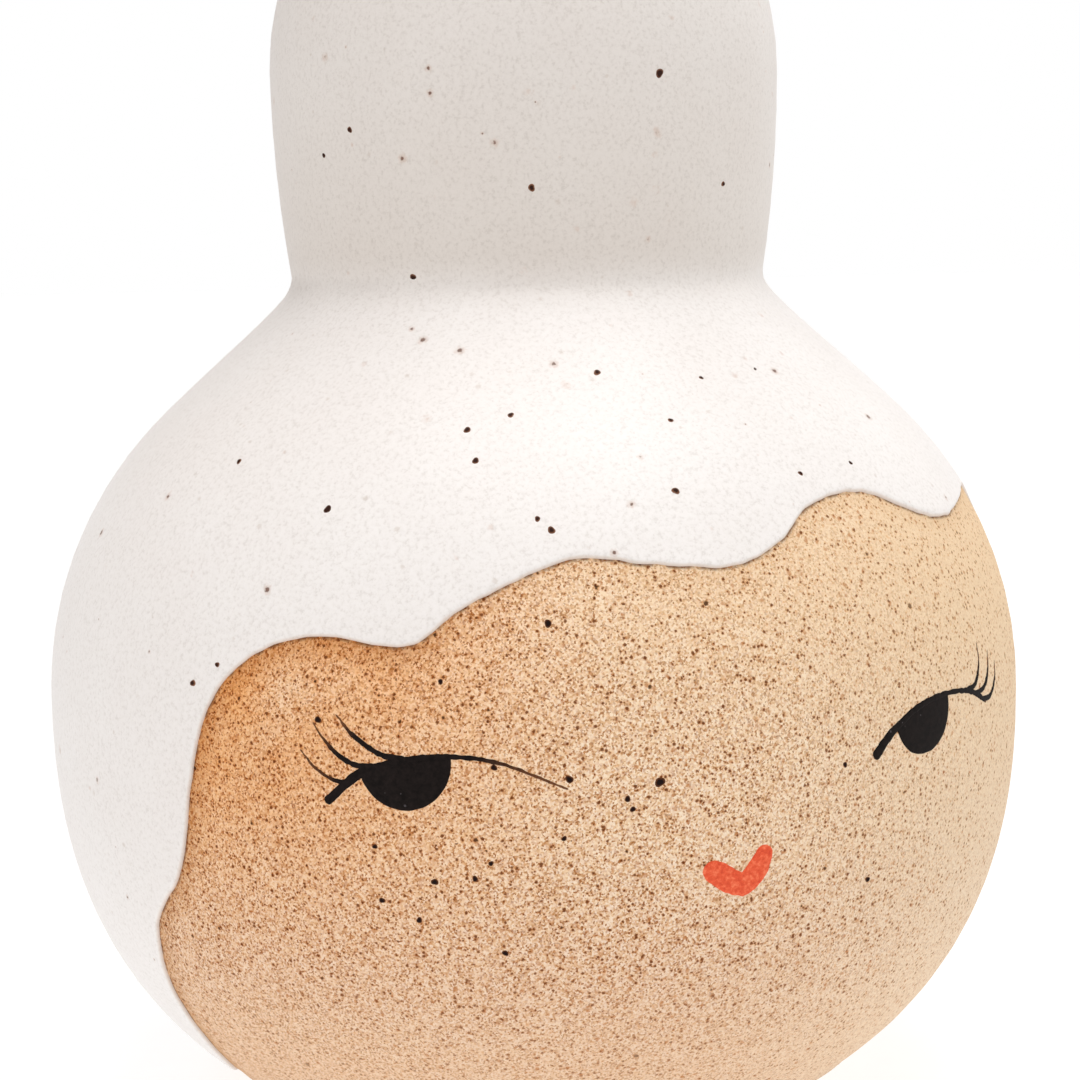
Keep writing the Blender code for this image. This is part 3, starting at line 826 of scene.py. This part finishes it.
def melted_iron(name, centre, rim):
    """Dark iron, lighter where it thins out at the rim of a speck."""
    nodes = Finish(name, 0.6, 0.08)
    mottle = nodes.noise(0.3 * MM, detail=2.0, roughness=0.7)
    body = nodes.math("MULTIPLY_ADD", mottle, 0.5, nodes.attribute("body"))
    colour = nodes.colours(body, (0.2, rim), (0.75, centre))
    return nodes.done(colour, nodes.bump(mottle, 0.06 * MM, 0.5), mottle)


def red_paint():
    """Red underglaze, brushed on unevenly."""
    nodes = Finish("red_underglaze_paint", 0.66, 0.3)
    bristle = nodes.noise(0.45 * MM, detail=3.0, roughness=0.7)
    colour = nodes.colours(bristle, (0.32, (0.70, 0.06, 0.018)), (0.5, (0.84, 0.105, 0.034)),
                           (0.68, (0.95, 0.22, 0.10)))
    return nodes.done(colour, nodes.bump(bristle, 0.1 * MM, 0.5), bristle)


# ---------------------------------------------------------------- stage

def camera():
    """Level with the waist and to the viewer's left of the face, tilted down and a little over."""
    distance = 250 * MM
    around = radians(-20.3)
    height = HEAD_CENTRE_Z + 49.3 * MM
    heading = radians(-20.5)
    tilt = radians(7.56)
    roll = radians(-1.06)
    spot = Vector((distance * sin(around), -distance * cos(around), height))
    lens = bpy.data.cameras.new("camera")
    lens.lens = 72.5
    lens.sensor_width = 36.0
    lens.clip_start = 0.01
    made = bpy.data.objects.new("camera", lens)
    turn = Matrix.Rotation(heading, 4, "Z") @ Matrix.Rotation(pi / 2 - tilt, 4, "X")
    made.matrix_world = Matrix.Translation(spot) @ turn @ Matrix.Rotation(roll, 4, "Z")
    bpy.context.scene.collection.objects.link(made)
    bpy.context.scene.camera = made


def soft_light(name, spot, target, size, watts, colour=(1.0, 1.0, 1.0)):
    lamp = bpy.data.lights.new(name, "AREA")
    lamp.shape = "DISK"
    lamp.size = size
    lamp.energy = watts
    lamp.color = colour
    made = bpy.data.objects.new(name, lamp)
    made.location = spot
    made.rotation_euler = (Vector(target) - Vector(spot)).to_track_quat("-Z", "Y").to_euler()
    bpy.context.scene.collection.objects.link(made)


def floor():
    """A plain pale table, lit a little from within like a light table."""
    half = 6.0
    points = [(-half, -half, 0), (half, -half, 0), (half, half, 0), (-half, half, 0)]
    made = mesh_object("floor", points, [(0, 1, 2, 3)], smooth=False)
    made.location.z = -0.05 * MM
    nodes = Finish("pale_table", 0.9, 0.1)
    paper = nodes.noise(4 * MM, detail=2.0)
    colour = nodes.colours(paper, (0.3, (0.31, 0.31, 0.31)), (0.7, (0.33, 0.33, 0.33)))
    nodes.shader.inputs["Emission Color"].default_value = (1.0, 1.0, 1.0, 1.0)
    distance = nodes.node("ShaderNodeVectorMath", operation="LENGTH")
    nodes.link(nodes.coordinates, distance.inputs[0])
    glow = nodes.ramp(distance.outputs["Value"], 0.1, 1.0, 0.79, 0.88)
    nodes.link(glow, nodes.shader.inputs["Emission Strength"])
    made.data.materials.append(nodes.done(colour, nodes.bump(paper, 0.1 * MM, 0.1), paper))


def studio():
    """A warm dim room that brightens towards the horizon, with a white backdrop behind the vase,
    and soft lights. The camera itself sees plain white all round."""
    world = bpy.data.worlds.new("studio")
    nodes = Nodes(world, "Generated")
    backdrop = nodes.node("ShaderNodeVectorMath", operation="DOT_PRODUCT")
    nodes.link(nodes.coordinates, backdrop.inputs[0])
    backdrop.inputs[1].default_value = (0.35, 0.937, 0.0)
    bright = nodes.math("MAXIMUM", nodes.ramp(nodes.axis("Z"), 0.3, 0.02),
                        nodes.ramp(backdrop.outputs["Value"], 0.86, 0.955))
    light = nodes.mix(bright, (0.36, 0.33, 0.31), (1.04, 1.04, 1.04))
    seen = nodes.node("ShaderNodeLightPath").outputs["Is Camera Ray"]
    light = nodes.mix(seen, light, (1.0, 1.0, 1.0))
    nodes.link(light, nodes.tree.nodes["Background"].inputs["Color"])
    bpy.context.scene.world = world
    bpy.context.scene.view_settings.view_transform = "Standard"
    middle = (0, 0, 0.07)
    soft_light("overhead", (0.02, -0.1, 0.74), middle, 0.6, 3.45)
    soft_light("right_back", (0.6, 0.25, 0.4), middle, 0.5, 0.5)
    soft_light("right", (0.6, -0.3, 0.3), middle, 0.5, 0.45, (0.9, 0.97, 1.0))
    soft_light("left", (-0.6, -0.32, 0.2), middle, 0.5, 0.5)


# ---------------------------------------------------------------- putting it together

def build_pot():
    clay = sandy_clay("bare_sandy_stoneware", flashed=True)
    under = sandy_clay("clay_under_glaze", flashed=False)
    finish_piece(head_clay(), clay, "bare_stoneware", "head_body")
    finish_piece(topknot_clay(), under, "bare_stoneware", "topknot_body")
    finish_piece(coil_clay(), under, "luting_clay", "neck_coil")
    finish_piece(hair_glaze(), white_glaze("white_satin_glaze", 0.48), "white_glaze", "hair_glaze")
    finish_piece(liner(), white_glaze("liner_gloss_glaze", 0.22), "liner_glaze", "liner_glaze")


def scatter_iron():
    in_clay = melted_iron("iron_in_clay", (0.012, 0.005, 0.004), (0.17, 0.055, 0.02))
    in_glaze = melted_iron("iron_in_glaze", (0.035, 0.013, 0.009), (0.32, 0.15, 0.085))
    finish_piece(iron_specks("clay_iron_specks", CLAY_SPECKS, 0, 3), in_clay, "bare_stoneware")
    finish_piece(iron_specks("glaze_iron_specks", GLAZE_SPECKS, GLAZE, 4), in_glaze, "white_glaze")


def paint_face():
    black = black_paint()
    red = red_paint()
    for seed, side in ((10, "left"), (50, "right")):
        lid = stroke(side + "_lid_stroke", LID_LINES[side], seed, PAINT * 1.15)
        finish_piece(lid, black, "black_underglaze", side + "_lid_line")
        iris = iris_patch(side + "_iris_paint", side, seed + 3)
        finish_piece(iris, black, "black_underglaze", side + "_iris")
        for number, points in enumerate(LASHES[side], start=1):
            lash = stroke(f"{side}_lash_stroke_{number}", points, seed + 5 * number + 4)
            finish_piece(lash, black, "black_underglaze", f"{side}_lash_{number}")
        dab = stroke(f"mouth_{side}_dab_paint", MOUTH_DABS[side], seed + 30)
        finish_piece(dab, red, "red_underglaze", f"mouth_{side}_dab")


camera()
studio()
floor()
build_pot()
scatter_iron()
paint_face()
